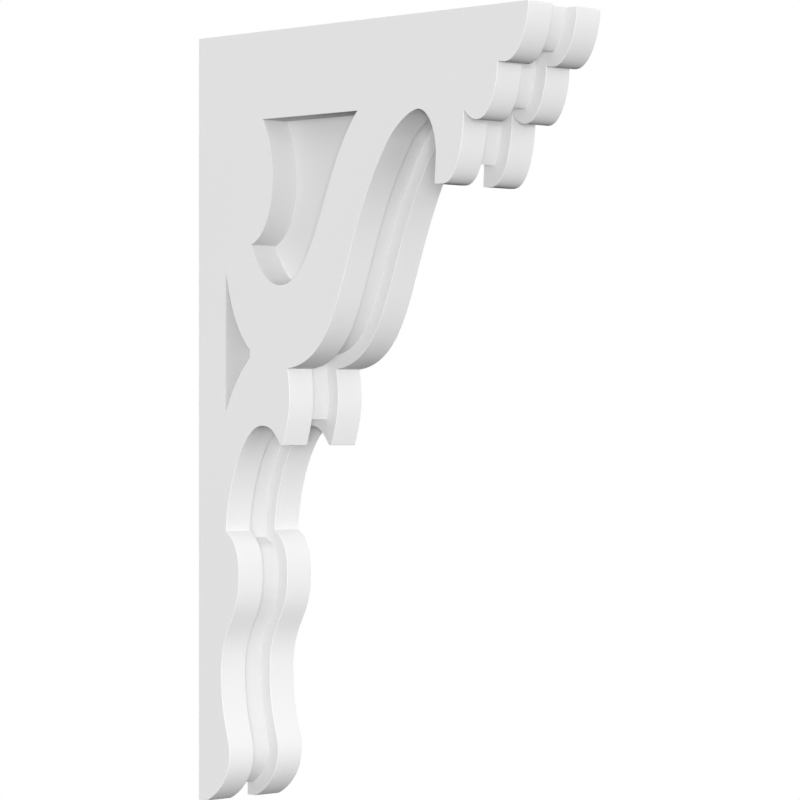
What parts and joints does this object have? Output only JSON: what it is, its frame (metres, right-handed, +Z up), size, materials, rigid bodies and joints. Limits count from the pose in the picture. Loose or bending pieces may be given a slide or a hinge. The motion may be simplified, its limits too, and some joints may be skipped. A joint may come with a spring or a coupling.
{
  "type": "corbel",
  "caption": "Scrolled corbel of two pierced cheeks and a set-back core, fixed to a wall under a shelf, beam or eave.",
  "frame": {"origin": "on the wall face, on the centre line and halfway up", "axes": "+X out from the wall towards the nose, +Y across the corbel to the right as one faces the wall, +Z up"},
  "size_m": [0.404, 0.0888, 0.686],
  "materials": {
    "painted_sheet": "smooth white, satin matt, with slightly eased cut edges"
  },
  "bodies": {
    "root": {"cheek_left": "painted_sheet", "core": "painted_sheet", "cheek_right": "painted_sheet"}
  },
  "joints": []
}
